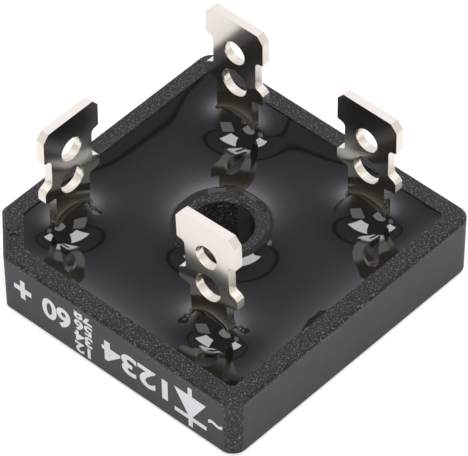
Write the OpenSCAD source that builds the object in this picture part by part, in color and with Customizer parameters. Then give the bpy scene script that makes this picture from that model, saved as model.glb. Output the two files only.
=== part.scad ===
// Square screw-mount bridge rectifier: a moulded cup with a screw sleeve, four stamped push-on tabs,
// four diode dice soldered between the tabs' plates, and casting resin that fills the cup.

/* [Case] */
// Side of the square case
case_side = 28.6; // [27.6:0.1:30]
// Height of the case from its flat base to the rim
case_h = 6.0; // [5.7:0.1:8]
// Thickness of the side walls at the rim
wall_t = 1.7; // [1.3:0.1:2]
// Thickness of the floor
floor_t = 1.0; // [0.6:0.1:1.2]
// How far each side leans in at the base, for release from the mould
draft = 0.1; // [0:0.02:0.2]
// Radius of the upright corners
corner_r = 1.4; // [0.8:0.1:2]
// Leg of the flat across the positive corner
key_leg = 3.75; // [3:0.05:4.5]
// Radius where that flat meets the sides
key_r = 0.7; // [0.5:0.05:1.2]
// Break on the outer edges of the rim and of the base
edge_break = 0.22; // [0.1:0.02:0.3]
// Radius of the cup's inner corners
cup_r = 0.4; // [0.2:0.05:0.8]
// Length of the bars of the plus sign moulded on the rim
mark_w = 1.3; // [1:0.05:1.4]
// Height of that plus sign above the rim
mark_h = 0.08; // [0.05:0.01:0.15]

/* [Screw sleeve] */
// Diameter of the hole for the mounting screw
bore_d = 5.3; // [4.2:0.1:6]
// Outer diameter of the sleeve round the hole
sleeve_d = 8.3; // [7.4:0.1:8.6]
// Countersink at both ends of the hole
bore_break = 0.2; // [0.1:0.05:0.3]
// Widening of the sleeve's radius at the floor
sleeve_draft = 0.15; // [0:0.05:0.2]

/* [Casting resin] */
// Depth of the resin's flat surface below the rim
fill_drop = 0.5; // [0.4:0.05:0.7]
// Height to which the resin climbs the walls and the sleeve
wall_creep = 0.38; // [0.2:0.02:0.38]
// Distance over which it flattens out from the walls and the sleeve
wall_reach = 2.0; // [1.2:0.1:2.4]
// Height to which the resin climbs the tabs
tab_creep = 0.55; // [0.3:0.05:0.7]
// Distance over which it flattens out from the tabs
tab_reach = 1.9; // [1.2:0.1:2.2]

/* [Tabs] */
// Thickness of the tinned sheet
sheet_t = 0.8; // [0.7:0.05:0.85]
// Width of the head and of the stop ears
head_w = 6.2; // [5.8:0.05:6.5]
// Height of the tip above the base of the case
tip_z = 17.45; // [17:0.05:20]
// Height of the head, from its underside to the tip
head_h = 2.95; // [2.6:0.05:3.2]
// Cut across the head's upper corners, sideways and down
head_cut = [0.6, 0.7];
// Width of the waist between the head and the ears
waist_w = 4.6; // [4.3:0.1:4.9]
// Width of the stem below the ears
stem_w = 3.85; // [3.4:0.05:4.2]
// Distance from the tip to the top of the ears
ear_drop = 5.95; // [5.6:0.05:6.3]
// Height of the ears at their outer edge
ear_h = 0.95; // [0.7:0.05:1.2]
// Diameter of the upper hole
eye_d = 2.05; // [1.7:0.05:2.3]
// Distance from the tip to the centre of the upper hole
eye_drop = 3.45; // [3.2:0.05:3.6]
// Diameter of the lower hole
wire_d = 2.45; // [2.1:0.05:2.6]
// Distance from the tip to the centre of the lower hole
wire_drop = 6.75; // [6.5:0.05:6.9]
// Width of the rolled edge of each hole
roll_over = 0.1; // [0.05:0.01:0.15]

/* [Rectifier inside] */
// Gap between the floor and the lower plates
plate_lift = 0.5; // [0.3:0.1:0.6]
// Side of a diode die
die_w = 3.2; // [2.8:0.1:3.4]
// Thickness of a diode die
die_t = 0.3; // [0.2:0.05:0.35]
// Thickness of each solder joint
solder_t = 0.1; // [0.05:0.01:0.12]
// Border of plate round a die
pad_border = 0.4; // [0.2:0.1:0.5]
// Width of the arms between a tab's foot and its dice
arm_w = 3.0; // [2.6:0.1:3]
// Inner radius of the bend between a foot and its stem
bend_r = 0.5; // [0.4:0.05:0.55]
// Distance of each die's middle from the nearest side of the case
die_in = 5.7; // [5.5:0.1:5.9]
// Sideways offset of each die from the case's centre line
die_side = 0.6; // [0.4:0.1:0.8]

/* [Hidden] */

eps = 0.01;                                     // overshoot of a cut
half = case_side / 2;
cup_half = half - wall_t;
cup_key = key_leg - wall_t * (2 - sqrt(2));     // keeps the wall's thickness across the keyed corner
mark_in = (2 * half - key_leg + 2 * cup_half - cup_key) / 4;
bore_r = bore_d / 2;
sleeve_r = sleeve_d / 2;
fill_z = case_h - fill_drop;
sink = 0.02;                                    // how far the foot of a creep dips below the flat
skirt_in = 0.06;                                // sets the ridges of a tab's creep beside its edges

lower_z = floor_t + plate_lift;                 // underside of the alternating-current plates
joint_1_z = lower_z + sheet_t;
die_z = joint_1_z + solder_t;
joint_2_z = die_z + die_t;
upper_z = joint_2_z + solder_t;                 // underside of the direct-current plates
bend_out = bend_r + sheet_t;
foot_back = bend_out - sheet_t / 2;             // from a tab's middle plane to the start of its flat foot
arm_back = foot_back + arm_w / 2;               // from a tab's middle plane to the middle of its arms
pad_w = die_w + 2 * pad_border;

head_z = tip_z - head_h;
ear_z = tip_z - ear_drop;
ear_slope = 0.35;                               // fall of the ears' upper edge, and of the head's underside
ear_low = ear_z - ear_slope - ear_h;
stem_low = fill_z - 1;                          // the upright foot ends here and the stamped outline begins

// middle of each tab, then how far the front one leans sideways and how much deeper it sits
plus_at = half * [-0.664, -0.532];
minus_at = half * [0.532, 0.638];
front_at = half * [0.49, -0.601];
back_at = half * [-0.481, 0.661];
front_lean = 2.4;
front_sunk = 0.35;

die_reach = half - die_in;
die_front_at = [-die_side, -die_reach];
die_left_at = [-die_reach, die_side];
die_right_at = [die_reach, -die_side];
die_back_at = [die_side, die_reach];

black = "#26252a";
resin = "#1a1819";
tin = "#c9c6c0";
silicon = "#5d6068";
solder = "#a9abad";

// ---- case ----

// centre and radius of each upright round; the corner at -X -Y is cut off by the keyed flat
corner_at = half - corner_r;
key_in = half - key_r;
key_out = half - key_leg - key_r * (sqrt(2) - 1);
rounds = [[corner_at, -corner_at, corner_r], [corner_at, corner_at, corner_r],
    [-corner_at, corner_at, corner_r], [-key_in, -key_out, key_r], [-key_out, -key_in, key_r]];

module layer(z, inset) {
    for (c = rounds)
        translate([c[0], c[1], z]) cylinder(r = c[2] - inset, h = eps, $fn = 32);
}

module block() {
    hull() {
        layer(0, draft + edge_break);
        layer(edge_break, draft);
        layer(case_h - edge_break, 0);
        layer(case_h - eps, edge_break);
    }
}

module cup_plan() {
    difference() {
        square(2 * cup_half, center = true);
        for (s = [[1, 1], [1, -1], [-1, 1]])
            translate([s[0] * (cup_half - cup_r), s[1] * (cup_half - cup_r)]) scale(s) difference() {
                square(2 * cup_r);
                circle(r = cup_r, $fn = 48);
            }
        translate([-cup_half, -cup_half]) polygon([[-1, -1], [cup_key + 1, -1], [-1, cup_key + 1]]);
    }
}

module sleeve() {
    translate([0, 0, floor_t - eps])
        cylinder(r1 = sleeve_r + sleeve_draft, r2 = sleeve_r, h = case_h - edge_break - floor_t + eps,
            $fn = 96);
    translate([0, 0, case_h - edge_break])
        cylinder(r1 = sleeve_r, r2 = sleeve_r - edge_break, h = edge_break, $fn = 96);
}

module screw_hole() {
    translate([0, 0, -1]) cylinder(r = bore_r, h = case_h + 2, $fn = 96);
    translate([0, 0, case_h - bore_break]) cylinder(r1 = bore_r, r2 = bore_r + 1, h = 1, $fn = 96);
    translate([0, 0, bore_break - 1]) cylinder(r1 = bore_r + 1, r2 = bore_r, h = 1, $fn = 96);
}

module plus_mark() {
    translate([-mark_in, -mark_in, case_h - eps]) linear_extrude(mark_h + eps) {
        square([mark_w, mark_w / 5], center = true);
        square([mark_w / 5, mark_w], center = true);
    }
}

module case() {
    color(black) difference() {
        union() {
            difference() {
                block();
                translate([0, 0, floor_t]) linear_extrude(case_h) cup_plan();
            }
            sleeve();
            plus_mark();
        }
        screw_hole();
    }
}

// ---- tabs: the local X runs across a tab, its foot bends back along -Y ----

module outline() {
    w = head_w / 2;
    n = waist_w / 2;
    s = stem_w / 2;
    side = [[w - head_cut[0], tip_z], [w, tip_z - head_cut[1]], [w, head_z], [n + 0.25, head_z - 0.12],
        [n + 0.06, head_z - 0.28], [n, head_z - 0.5], [n, ear_z + 0.2], [n + 0.12, ear_z],
        [w - 0.25, ear_z - ear_slope + 0.15], [w, ear_z - ear_slope - 0.1], [w, ear_low],
        [w - 0.15, ear_low - 0.15], [s, ear_low - ear_slope], [s, stem_low]];
    polygon(concat(side, [for (i = [len(side) - 1 : -1 : 0]) [-side[i][0], side[i][1]]]));
}

module punch(d, z) {
    translate([0, -sheet_t, z]) rotate([-90, 0, 0]) cylinder(r = d / 2, h = 2 * sheet_t, $fn = 48);
    for (m = [0, 1])
        mirror([0, m, 0]) translate([0, sheet_t / 2 - roll_over, z]) rotate([-90, 0, 0])
            cylinder(r1 = d / 2, r2 = d / 2 + 2 * roll_over, h = 2 * roll_over, $fn = 48);
}

// the stamped part above the foot, leaning about its base
module blade(lean, sunk) {
    translate([0, 0, stem_low]) rotate([0, lean, 0]) translate([0, 0, -stem_low - sunk]) difference() {
        translate([0, sheet_t / 2, 0]) rotate([90, 0, 0]) linear_extrude(sheet_t) outline();
        punch(eye_d, tip_z - eye_drop);
        punch(wire_d, tip_z - wire_drop);
    }
}

module foot(z) {
    translate([-stem_w / 2, -sheet_t / 2, z + bend_out])
        cube([stem_w, sheet_t, stem_low + 0.3 - z - bend_out]);
    translate([-stem_w / 2, -foot_back, z + bend_out]) rotate([90, 0, 90]) linear_extrude(stem_w)
        difference() {
            intersection() {
                circle(r = bend_out, $fn = 64);
                translate([0, -bend_out]) square(bend_out);
            }
            circle(r = bend_r, $fn = 64);
        }
    translate([-stem_w / 2, -foot_back - arm_w, z]) cube([stem_w, arm_w, sheet_t]);
}

module strip(a, b, w) {
    translate((a + b) / 2) square([abs(a[0] - b[0]) + w, abs(a[1] - b[1]) + w], center = true);
}

// flat plate whose arms run from the foot's corner to two dice
module plate(corner, die_x, die_y, z) {
    translate([0, 0, z]) linear_extrude(sheet_t) {
        strip(corner, [die_x[0], corner[1]], arm_w);
        strip(corner, [corner[0], die_y[1]], arm_w);
        strip(die_x, die_x, pad_w);
        strip(die_y, die_y, pad_w);
    }
}

module tab(at, turn, z, lean = 0, sunk = 0) {
    translate(at) rotate([0, 0, turn]) {
        blade(lean, sunk);
        foot(z);
    }
}

module tab_plus() {
    color(tin) {
        tab(plus_at, 90, upper_z);
        plate(plus_at + [arm_back, 0], die_front_at, die_left_at, upper_z);
    }
}

module tab_minus() {
    color(tin) {
        tab(minus_at, 0, upper_z);
        plate(minus_at - [0, arm_back], die_back_at, die_right_at, upper_z);
    }
}

module tab_ac_front() {
    color(tin) {
        tab(front_at, 180, lower_z, front_lean, front_sunk);
        plate(front_at + [0, arm_back], die_front_at, die_right_at, lower_z);
    }
}

module tab_ac_back() {
    color(tin) {
        tab(back_at, 0, lower_z);
        plate(back_at - [0, arm_back], die_back_at, die_left_at, lower_z);
    }
}

// ---- dice and their solder ----

module wafer(at, z, t) {
    translate([at[0] - die_w / 2, at[1] - die_w / 2, z]) cube([die_w, die_w, t]);
}

module die_front() { color(silicon) wafer(die_front_at, die_z, die_t); }
module die_left() { color(silicon) wafer(die_left_at, die_z, die_t); }
module die_right() { color(silicon) wafer(die_right_at, die_z, die_t); }
module die_back() { color(silicon) wafer(die_back_at, die_z, die_t); }

module solder_front_lower() { color(solder) wafer(die_front_at, joint_1_z, solder_t); }
module solder_front_upper() { color(solder) wafer(die_front_at, joint_2_z, solder_t); }
module solder_left_lower() { color(solder) wafer(die_left_at, joint_1_z, solder_t); }
module solder_left_upper() { color(solder) wafer(die_left_at, joint_2_z, solder_t); }
module solder_right_lower() { color(solder) wafer(die_right_at, joint_1_z, solder_t); }
module solder_right_upper() { color(solder) wafer(die_right_at, joint_2_z, solder_t); }
module solder_back_lower() { color(solder) wafer(die_back_at, joint_1_z, solder_t); }
module solder_back_upper() { color(solder) wafer(die_back_at, joint_2_z, solder_t); }

// ---- casting resin ----

// section of the resin where it climbs a face at x = 0; back is how far it runs on inside that face
module creep(rise, reach, back) {
    high = rise + sink;
    arc = (high * high + reach * reach) / (2 * high);
    difference() {
        translate([-back, -0.2]) square([back + reach, high + 0.5]);
        translate([reach, arc]) circle(r = arc, $fn = 128);
    }
}

module wall_creeps() {
    for (w = [[0, cup_half], [90, cup_half], [180, cup_half], [270, cup_half],
            [225, (2 * cup_half - cup_key) / sqrt(2)]])
        rotate([0, 0, w[0]]) translate([w[1], half, fill_z - sink]) rotate([90, 0, 0]) mirror([1, 0, 0])
            linear_extrude(2 * half) creep(wall_creep, wall_reach, wall_t / 2);
}

module sleeve_creep() {
    translate([0, 0, fill_z - sink]) rotate_extrude($fn = 128) translate([sleeve_r, 0])
        creep(wall_creep, wall_reach, 2 * edge_break);
}

// section of the resin where it climbs both faces of something of that width
module mound(width, rise, reach) {
    for (m = [0, 1])
        mirror([m, 0]) translate([width / 2, 0]) creep(rise, reach, width / 2);
}

// the creep is mitred round a stem; its ridges start just beside the stem's edges
module tab_skirt(at, turn) {
    long = stem_w + 2 * tab_reach + 1;
    translate([at[0], at[1], fill_z - sink]) rotate([0, 0, turn]) intersection() {
        translate([0, long / 2, 0]) rotate([90, 0, 0]) linear_extrude(long)
            mound(stem_w, tab_creep, tab_reach);
        translate([-long / 2, 0, 0]) rotate([90, 0, 90]) linear_extrude(long)
            mound(sheet_t - skirt_in, tab_creep, tab_reach);
    }
}

module poured() {
    intersection() {
        translate([0, 0, floor_t]) linear_extrude(case_h) cup_plan();
        union() {
            intersection() {
                translate([-half, -half, floor_t]) cube([case_side, case_side, case_h - floor_t]);
                union() {
                    translate([-half, -half, 0]) cube([case_side, case_side, fill_z]);
                    wall_creeps();
                    sleeve_creep();
                }
            }
            tab_skirt(plus_at, 90);
            tab_skirt(minus_at, 0);
            tab_skirt(front_at, 180);
            tab_skirt(back_at, 0);
        }
    }
}

module casting_resin() {
    color(resin) difference() {
        poured();
        sleeve();
        tab_plus();
        tab_minus();
        tab_ac_front();
        tab_ac_back();
        for (d = [die_front_at, die_left_at, die_right_at, die_back_at])
            wafer(d, joint_1_z, die_t + 2 * solder_t);
    }
}

case();
casting_resin();
tab_plus();
tab_minus();
tab_ac_front();
tab_ac_back();
die_front();
die_left();
die_right();
die_back();
solder_front_lower();
solder_front_upper();
solder_left_lower();
solder_left_upper();
solder_right_lower();
solder_right_upper();
solder_back_lower();
solder_back_upper();
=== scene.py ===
import math

import bmesh
import bpy
import numpy as np
from mathutils import Matrix, Vector


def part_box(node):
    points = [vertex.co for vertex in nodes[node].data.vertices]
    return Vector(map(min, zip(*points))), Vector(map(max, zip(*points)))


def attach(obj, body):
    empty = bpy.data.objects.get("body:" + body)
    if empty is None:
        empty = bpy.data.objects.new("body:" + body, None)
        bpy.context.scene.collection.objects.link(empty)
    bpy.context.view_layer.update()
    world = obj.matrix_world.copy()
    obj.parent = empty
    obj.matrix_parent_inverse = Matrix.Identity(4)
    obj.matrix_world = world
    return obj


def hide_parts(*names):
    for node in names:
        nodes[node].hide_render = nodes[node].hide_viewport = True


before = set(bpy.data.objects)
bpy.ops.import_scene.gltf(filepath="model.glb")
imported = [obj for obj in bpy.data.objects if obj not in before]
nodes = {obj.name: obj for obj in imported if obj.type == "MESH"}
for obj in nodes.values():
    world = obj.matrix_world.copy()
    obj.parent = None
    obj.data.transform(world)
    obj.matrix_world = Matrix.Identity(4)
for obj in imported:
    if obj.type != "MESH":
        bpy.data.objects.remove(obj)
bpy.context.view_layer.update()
mm = 0.001

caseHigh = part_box("case")[1]
halfCase = caseHigh[0] / mm
topZ = caseHigh[2] / mm  # top of the plus sign raised on the rim
print("frame loaded,", len(nodes), "nodes, case top at", round(topZ, 2), "mm")


# small helpers; a linked value is given as a pair, the node and the name of its output

def addNode(tree, kind, sockets=None, **settings):
    made = tree.nodes.new(kind)
    for key, value in settings.items():
        setattr(made, key, value)
    for key, value in (sockets or {}).items():
        made.inputs[key].default_value = value
    return made


def join(tree, source, output, target, socket):
    tree.links.new(source.outputs[output], target.inputs[socket])


def mathNode(tree, operation, *values):
    made = addNode(tree, "ShaderNodeMath", operation=operation)
    for i, value in enumerate(values):
        if isinstance(value, tuple):
            join(tree, value[0], value[1], made, i)
        else:
            made.inputs[i].default_value = value
    return made


def mixColor(tree, share, low, high):
    made = addNode(tree, "ShaderNodeMix", data_type="RGBA")
    join(tree, share[0], share[1], made, 0)
    for socket, value in ((6, low), (7, high)):
        if isinstance(value[0], (int, float)):
            made.inputs[socket].default_value = value
        else:
            join(tree, value[0], value[1], made, socket)
    return made


def mapRange(tree, source, ends, **settings):
    made = addNode(tree, "ShaderNodeMapRange", ends, **settings)
    join(tree, source[0], source[1], made, "Value")
    return made


def splitAxes(tree, source, output):
    made = addNode(tree, "ShaderNodeSeparateXYZ")
    join(tree, source, output, made, "Vector")
    return made


def newMaterial(name):
    made = bpy.data.materials.new(name)
    made.use_nodes = True
    made.node_tree.nodes.clear()
    tree = made.node_tree
    out = addNode(tree, "ShaderNodeOutputMaterial")
    shader = addNode(tree, "ShaderNodeBsdfPrincipled")
    join(tree, shader, "BSDF", out, "Surface")
    return made, tree, shader


def dress(nodeName, material):
    for slot in nodes[nodeName].material_slots:
        slot.link = "OBJECT"
        slot.material = material


def addObject(name, data):
    made = bpy.data.objects.new(name, data)
    bpy.context.collection.objects.link(made)
    return made


# the camera looks down from one corner; angles in degrees, distance, target and lens in millimetres
view = dict(
    azimuth=42.615, elevation=45.917, roll=-0.427, distance=441.3, target=(0.391, 0.983, 5.0),
    lens=423.08, sensor=36, near=0.01, far=20,  # near and far in metres
)


def placeCamera(c):
    az, el, roll = (math.radians(c[k]) for k in ("azimuth", "elevation", "roll"))
    back = Vector((math.sin(az) * math.cos(el), -math.cos(az) * math.cos(el), math.sin(el)))
    side = (-back).cross(Vector((0, 0, 1))).normalized()
    up = side.cross(-back)
    right = math.cos(roll) * side + math.sin(roll) * up
    top = -math.sin(roll) * side + math.cos(roll) * up
    place = (Vector(c["target"]) + back * c["distance"]) * mm
    data = bpy.data.cameras.new("camera")
    data.sensor_width = c["sensor"]
    data.sensor_fit = "HORIZONTAL"
    data.lens = c["lens"]
    data.clip_start = c["near"]
    data.clip_end = c["far"]
    cam = addObject("camera", data)
    cam.matrix_world = Matrix.Translation(place) @ Matrix((right, top, back)).transposed().to_4x4()
    bpy.context.scene.camera = cam


placeCamera(view)
print("camera placed")


# colour of the room beyond the object and around it, the span over which one turns into the other as a
# direction points further away, and brightness by the height of the direction
room = dict(
    beyondTint=(0.95, 0.9, 1.0), aroundTint=(1.0, 0.87, 0.74), turn=(0.1, 0.5),
    beyond=[(0.0, 1.5), (0.35, 1.5), (0.5, 1.1), (0.64, 0.75), (0.70, 0.62), (0.76, 0.53), (0.805, 0.45),
            (0.815, 0.10), (0.820, 0.10), (0.832, 0.38), (0.9, 0.36), (1.0, 0.2)],
    around=[(0.0, 1.0), (0.2, 0.6), (0.45, 0.3), (0.75, 0.22), (1.0, 0.25)],
)
# places and sizes in metres, to the right of the view, away from it and up; radiance beside the lit floor's 1
lamps = dict(
    left=dict(place=(-0.17, 0.08, 0.5), size=(0.2, 0.11), radiance=9),
    right=dict(place=(0.17, 0.08, 0.5), size=(0.2, 0.11), radiance=9),
    leftGlow=dict(place=(-0.40, 0.03, 0.5), size=(0.2, 0.18), radiance=1.8),
    rightGlow=dict(place=(0.40, 0.03, 0.5), size=(0.2, 0.18), radiance=1.8),
    key=dict(place=(0.0, -0.5, 0.5), size=(0.9, 0.4), radiance=3.0),
)
paper = dict(half=3.0, color=(0.9, 0.9, 0.9, 1), roughness=0.9, glow=0.3)  # only the camera sees the glow


def viewFrame():
    az = math.radians(view["azimuth"])
    return Vector((math.cos(az), math.sin(az), 0)), Vector((-math.sin(az), math.cos(az), 0))


def rampBy(tree, source, output, stops, tint):
    ramp = addNode(tree, "ShaderNodeValToRGB")
    band = ramp.color_ramp
    band.elements[0].position, band.elements[1].position = stops[0][0], stops[-1][0]
    for at, value in stops[1:-1]:
        band.elements.new(at)
    for element, (at, value) in zip(band.elements, stops):
        element.color = [value * t for t in tint] + [1]
    join(tree, source, output, ramp, "Fac")
    return ramp


def makeWorld(c):
    world = bpy.data.worlds.new("studio")
    bpy.context.scene.world = world
    world.use_nodes = True
    tree = world.node_tree
    tree.nodes.clear()
    out = addNode(tree, "ShaderNodeOutputWorld")
    way = addNode(tree, "ShaderNodeTexCoord")
    parts = splitAxes(tree, way, "Generated")
    away = addNode(tree, "ShaderNodeVectorMath", {1: viewFrame()[1]}, operation="DOT_PRODUCT")
    join(tree, way, "Generated", away, 0)
    turn = {"From Min": c["turn"][0], "From Max": c["turn"][1]}
    share = mapRange(tree, (away, "Value"), turn, interpolation_type="SMOOTHSTEP")
    around = rampBy(tree, parts, "Z", c["around"], c["aroundTint"])
    beyond = rampBy(tree, parts, "Z", c["beyond"], c["beyondTint"])
    level = mixColor(tree, (share, "Result"), (around, "Color"), (beyond, "Color"))
    walls = addNode(tree, "ShaderNodeBackground")
    join(tree, level, 2, walls, "Color")
    white = addNode(tree, "ShaderNodeBackground", {"Color": (1, 1, 1, 1), "Strength": 1.0})
    rays = addNode(tree, "ShaderNodeLightPath")
    mix = addNode(tree, "ShaderNodeMixShader")
    join(tree, rays, "Is Camera Ray", mix, 0)
    join(tree, walls, "Background", mix, 1)
    join(tree, white, "Background", mix, 2)
    join(tree, mix, "Shader", out, "Surface")


def makeLamp(name, c):
    side, away = viewFrame()
    data = bpy.data.lights.new(name, "AREA")
    data.shape = "RECTANGLE"
    data.size, data.size_y = c["size"]
    data.energy = c["radiance"] * math.pi * c["size"][0] * c["size"][1]
    place = side * c["place"][0] + away * c["place"][1] + Vector((0, 0, c["place"][2]))
    lamp = addObject(name, data)
    lamp.location = place
    lamp.rotation_euler = place.to_track_quat("Z", "Y").to_euler()


def makeFloor(c):
    material, tree, shader = newMaterial("floor")
    shader.inputs["Base Color"].default_value = c["color"]
    shader.inputs["Roughness"].default_value = c["roughness"]
    shader.inputs["Specular IOR Level"].default_value = 0.0
    rays = addNode(tree, "ShaderNodeLightPath")
    glow = mathNode(tree, "MULTIPLY", (rays, "Is Camera Ray"), c["glow"])
    shader.inputs["Emission Color"].default_value = (1, 1, 1, 1)
    join(tree, glow, "Value", shader, "Emission Strength")
    side = c["half"]
    mesh = bpy.data.meshes.new("floor")
    corners = [(-side, -side, 0), (side, -side, 0), (side, side, 0), (-side, side, 0)]
    mesh.from_pydata(corners, [], [(0, 1, 2, 3)])
    mesh.materials.append(material)
    floor = addObject("floor", mesh)


makeWorld(room)
for name, c in lamps.items():
    makeLamp(name, c)
makeFloor(paper)
bpy.context.scene.view_settings.view_transform = "Standard"
print("light and floor made")


# black moulding, lengths in millimetres: faces that point up, the rounded corners and a ragged brim of the
# sides carry pale specks, and inside boreR the screw hole's walls get a painted shade, plain black without
# specks
moulding = dict(
    rim=(0.003, 0.002, 0.003, 1), speck=(0.30, 0.29, 0.31, 1), hole=(0.002, 0.0015, 0.0025, 1),
    sideDark=(0.030, 0.029, 0.034, 1), sideLight=(0.040, 0.040, 0.046, 1),
    boreR=2.64, brimZ=6.35, ragged=1.6, upward=0.5, square=0.96,
    grainScale=6500, grainDepth=0.03, cloudScale=900, speckFrom=0.54, speckFull=0.70,
    sideRough=0.55, rimRough=0.5, sideBump=0.15, rimBump=0.9, ior=1.45,
)


def caseMaterial(c):
    material, tree, shader = newMaterial("moulded_black")
    place = addNode(tree, "ShaderNodeTexCoord")
    facing = addNode(tree, "ShaderNodeNewGeometry")
    normal = splitAxes(tree, facing, "True Normal")
    top = mathNode(tree, "GREATER_THAN", (normal, "Z"), c["upward"])
    size = [mathNode(tree, "ABSOLUTE", (normal, axis)) for axis in "XY"]
    broad = mathNode(tree, "MAXIMUM", (size[0], "Value"), (size[1], "Value"))
    corner = mathNode(tree, "LESS_THAN", (broad, "Value"), c["square"])
    spot = splitAxes(tree, place, "Object")
    across = mathNode(tree, "MULTIPLY", (spot, "X"), (spot, "X"))
    along = mathNode(tree, "MULTIPLY", (spot, "Y"), (spot, "Y"))
    radius = mathNode(tree, "SQRT", (mathNode(tree, "ADD", (across, "Value"), (along, "Value")), "Value"))
    boreShadeMask = mathNode(tree, "LESS_THAN", (radius, "Value"), c["boreR"] * mm)
    grain = addNode(tree, "ShaderNodeTexNoise", {"Scale": c["grainScale"], "Detail": 2, "Roughness": 0.6})
    join(tree, place, "Object", grain, "Vector")
    ragged = mathNode(tree, "MULTIPLY", (grain, "Fac"), c["ragged"] * mm)
    height = mathNode(tree, "ADD", (spot, "Z"), (ragged, "Value"))
    brim = mathNode(tree, "GREATER_THAN", (height, "Value"), c["brimZ"] * mm)
    edges = mathNode(tree, "MAXIMUM", (top, "Value"), (corner, "Value"))
    specked = mathNode(tree, "MAXIMUM", (edges, "Value"), (brim, "Value"))
    specks = mapRange(tree, (grain, "Fac"), {"From Min": c["speckFrom"], "From Max": c["speckFull"]})
    cloud = addNode(tree, "ShaderNodeTexNoise", {"Scale": c["cloudScale"], "Detail": 3, "Roughness": 0.7})
    join(tree, place, "Object", cloud, "Vector")
    patches = mathNode(tree, "MULTIPLY", (specks, "Result"), (cloud, "Fac"))
    rim = mixColor(tree, (patches, "Value"), c["rim"], c["speck"])
    sides = mixColor(tree, (cloud, "Fac"), c["sideDark"], c["sideLight"])
    skin = mixColor(tree, (specked, "Value"), (sides, 2), (rim, 2))
    # painted shade: the screw hole's walls inside boreR are coloured plain black
    whole = mixColor(tree, (boreShadeMask, "Value"), (skin, 2), c["hole"])
    join(tree, whole, 2, shader, "Base Color")
    rough = mapRange(tree, (specked, "Value"), {"To Min": c["sideRough"], "To Max": c["rimRough"]})
    join(tree, rough, "Result", shader, "Roughness")
    shader.inputs["IOR"].default_value = c["ior"]
    depth = mapRange(tree, (specked, "Value"), {"To Min": c["sideBump"], "To Max": c["rimBump"]})
    bump = addNode(tree, "ShaderNodeBump", {"Distance": c["grainDepth"] * mm})
    join(tree, grain, "Fac", bump, "Height")
    join(tree, depth, "Result", bump, "Strength")
    join(tree, bump, "Normal", shader, "Normal")
    return material


epoxy = dict(color=(0.006, 0.0045, 0.0042, 1), roughness=0.04, ior=1.55)


def resinMaterial(c):
    material, tree, shader = newMaterial("poured_resin")
    shader.inputs["Base Color"].default_value = c["color"]
    shader.inputs["Roughness"].default_value = c["roughness"]
    shader.inputs["IOR"].default_value = c["ior"]
    return material


# the broad faces are smooth, the cut edges rougher and those that point up roughest; broadAxis is the way
# each tab's broad faces point
tin = dict(
    color=(0.80, 0.77, 0.72, 1), faceRough=0.14, edgeRough=0.26, topRough=0.6, upward=0.5, square=0.9,
    broadAxis=dict(tab_minus="Y", tab_ac_front="Y", tab_ac_back="Y", tab_plus="X"),
)


def tinMaterial(name, axis, c):
    material, tree, shader = newMaterial(name)
    shader.inputs["Base Color"].default_value = c["color"]
    shader.inputs["Metallic"].default_value = 1
    facing = addNode(tree, "ShaderNodeNewGeometry")
    normal = splitAxes(tree, facing, "True Normal")
    up = mathNode(tree, "GREATER_THAN", (normal, "Z"), c["upward"])
    size = mathNode(tree, "ABSOLUTE", (normal, axis))
    face = mathNode(tree, "GREATER_THAN", (size, "Value"), c["square"])
    edge = mapRange(tree, (up, "Value"), {"To Min": c["edgeRough"], "To Max": c["topRough"]})
    rough = mapRange(tree, (face, "Value"), {"To Max": c["faceRough"]})
    join(tree, edge, "Result", rough, "To Min")
    join(tree, rough, "Result", shader, "Roughness")
    return material


dress("case", caseMaterial(moulding))
for name, axis in tin["broadAxis"].items():
    dress(name, tinMaterial("tin_" + name, axis, tin))
resin = resinMaterial(epoxy)
print("materials assigned")


# casting resin: its surface climbs whatever stands in it. Millimetres: settle is how soon a climb dies away,
# keyLine and keyStop are x + y at the keyed wall and where the pour ends in it, wallSkin and sleeveSkin are
# how near a wall counts as touching and how deep the pour goes into the sleeve; each stem is an oval, as
# the place of its middle and its half widths
pour = dict(
    flatZ=topZ - 0.7, bottomZ=1.0, halfCup=12.6, overlap=0.05, step=0.1, turns=1500,
    settle=1.9, wallRise=0.52, sleeveRise=0.63, stemRise=1.75,
    sleeveR=4.15, sleeveSkin=0.6, wallSkin=0.02, keyLine=-22.45, keyStop=-23.6,
    stems=[(-9.5, -7.6, 0.35, 1.75), (7.6, 9.12, 1.75, 0.35),
           (7.0, -8.6, 1.75, 0.35), (-6.87, 9.45, 1.75, 0.35)],
)


def resinHeights(p):
    reach = p["halfCup"] + p["overlap"]
    count = int(round(2 * reach / p["step"])) + 1
    axis = np.linspace(-reach, reach, count)
    x, y = np.meshgrid(axis, axis, indexing="ij")
    held = np.zeros_like(x, bool)
    rise = np.zeros_like(x)
    inner = p["halfCup"] - p["wallSkin"]
    wall = (np.abs(x) > inner) | (np.abs(y) > inner) | (x + y < p["keyLine"])
    sleeve = np.hypot(x, y) < p["sleeveR"]
    for where, height in ((wall, p["wallRise"]), (sleeve, p["sleeveRise"])):
        held |= where
        rise[where] = height
    for cx, cy, hx, hy in p["stems"]:
        stem = ((x - cx) / hx) ** 2 + ((y - cy) / hy) ** 2 < 1
        held |= stem
        rise[stem] = p["stemRise"]
    damp = 4 + (p["step"] / p["settle"]) ** 2
    h = rise.copy()
    for turn in range(p["turns"]):
        around = h[2:, 1:-1] + h[:-2, 1:-1] + h[1:-1, 2:] + h[1:-1, :-2]
        h[1:-1, 1:-1] = np.where(held[1:-1, 1:-1], rise[1:-1, 1:-1], around / damp)
    return x, y, h


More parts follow.
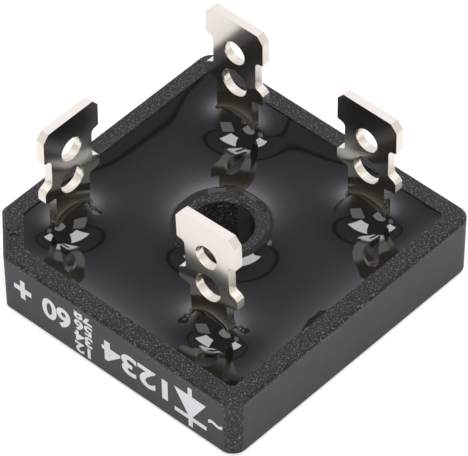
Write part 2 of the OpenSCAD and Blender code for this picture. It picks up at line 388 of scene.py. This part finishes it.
def makeResin(p):
    x, y, h = resinHeights(p)
    inCup = x[:-1, :-1] + y[:-1, :-1] + p["step"] > p["keyStop"]
    outsideBore = np.hypot(x[:-1, :-1], y[:-1, :-1]) > p["sleeveR"] - p["sleeveSkin"]
    bm = bmesh.new()
    verts = {}
    for i, j in np.argwhere(inCup & outsideBore):
        corners = []
        for at in ((i, j), (i + 1, j), (i + 1, j + 1), (i, j + 1)):
            if at not in verts:
                verts[at] = bm.verts.new(Vector((x[at], y[at], p["flatZ"] + h[at])) * mm)
            corners.append(verts[at])
        bm.faces.new(corners).smooth = True
    rim = [e for e in bm.edges if e.is_boundary]
    for e in rim:
        e.smooth = False
    grown = bmesh.ops.extrude_edge_only(bm, edges=rim)["geom"]
    for v in grown:
        if isinstance(v, bmesh.types.BMVert):
            v.co.z = p["bottomZ"] * mm
    for f in grown:
        if isinstance(f, bmesh.types.BMFace):
            f.smooth = False
    bmesh.ops.triangle_fill(bm, use_beauty=True, edges=[e for e in bm.edges if e.is_boundary])
    bmesh.ops.recalc_face_normals(bm, faces=bm.faces)
    mesh = bpy.data.meshes.new("resin_pour")
    bm.to_mesh(mesh)
    bm.free()
    mesh.materials.append(resin)
    obj = addObject("resin_pour", mesh)
    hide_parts("casting_resin")
    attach(obj, "root")


makeResin(pour)
print("resin poured")


# print on the marked side, upright when the tabs point down; for each mark from and to along the side, from
# and to above its base, and the text, all in millimetres
marks = dict(
    plus=(-9.5, -7.6, 2.35, 4.4, "+"),
    rating=(-6.4, -3.3, 2.1, 4.4, "60"),
    code=(-2.9, -0.9, 0.5, 5.6, "12\n34\n56\n78"),
    number=(0.1, 7.2, 1.75, 4.05, "1234"),
    alternating=(11.5, 13.0, 2.5, 3.1, "~"),
)
# a plain diode: its middle, half widths of the triangle and the leads, where its stretches end, and the bar
symbol = dict(middle=9.6, wide=1.7, lead=0.22, low=0.6, base=1.5, tip=3.9, bar=0.45, high=5.1)
# draft is how far the side leans in at its base
ink = dict(color=(0.62, 0.66, 0.72, 1), roughness=0.5, thick=0.004, bold=0.03, lineGap=0.85, draft=0.1)


def inkMaterial(c):
    material, tree, shader = newMaterial("ink")
    shader.inputs["Base Color"].default_value = c["color"]
    shader.inputs["Roughness"].default_value = c["roughness"]
    return material


inkPaint = inkMaterial(ink)


# the mark's own right points back along the side and its own up points to the base
def printMark(name, data, left, right, low, high):
    data.extrude = ink["thick"]
    curve = addObject(name, data)
    mesh = bpy.data.meshes.new_from_object(curve)
    bpy.data.objects.remove(curve)
    points = np.array([v.co for v in mesh.vertices])
    small, large = points.min(0), points.max(0)
    for v in mesh.vertices:
        along = (v.co.x - small[0]) / (large[0] - small[0])
        up = (v.co.y - small[1]) / (large[1] - small[1])
        x, z = right + (left - right) * along, high + (low - high) * up
        v.co = Vector((x, -halfCase + ink["draft"] / topZ * (topZ - z) - v.co.z, z)) * mm
    mesh.materials.clear()
    mesh.materials.append(inkPaint)
    obj = addObject("print_" + name, mesh)
    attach(obj, "root")


def writing(text):
    data = bpy.data.curves.new(text, "FONT")
    data.body = text
    data.offset = ink["bold"]
    data.space_line = ink["lineGap"]
    return data


def diode(c):
    data = bpy.data.curves.new("diode", "CURVE")
    data.dimensions = "2D"
    data.fill_mode = "BOTH"
    w, d = c["wide"], c["lead"]
    low, base, tip, bar, high = (c[k] for k in ("low", "base", "tip", "bar", "high"))
    corners = [(-d, low), (d, low), (d, base), (w, base), (d, tip), (w, tip),
               (w, tip + bar), (d, tip + bar), (d, high), (-d, high), (-d, tip + bar),
               (-w, tip + bar), (-w, tip), (-d, tip), (-w, base), (-d, base)]
    line = data.splines.new("POLY")
    line.points.add(len(corners) - 1)
    for point, (x, y) in zip(line.points, corners):
        point.co = (x, y, 0, 1)
    line.use_cyclic_u = True
    return data


for name, (left, right, low, high, text) in marks.items():
    printMark(name, writing(text), left, right, low, high)
printMark("diode", diode(symbol), symbol["middle"] - symbol["wide"], symbol["middle"] + symbol["wide"],
          symbol["low"], symbol["high"])
print("marks printed")
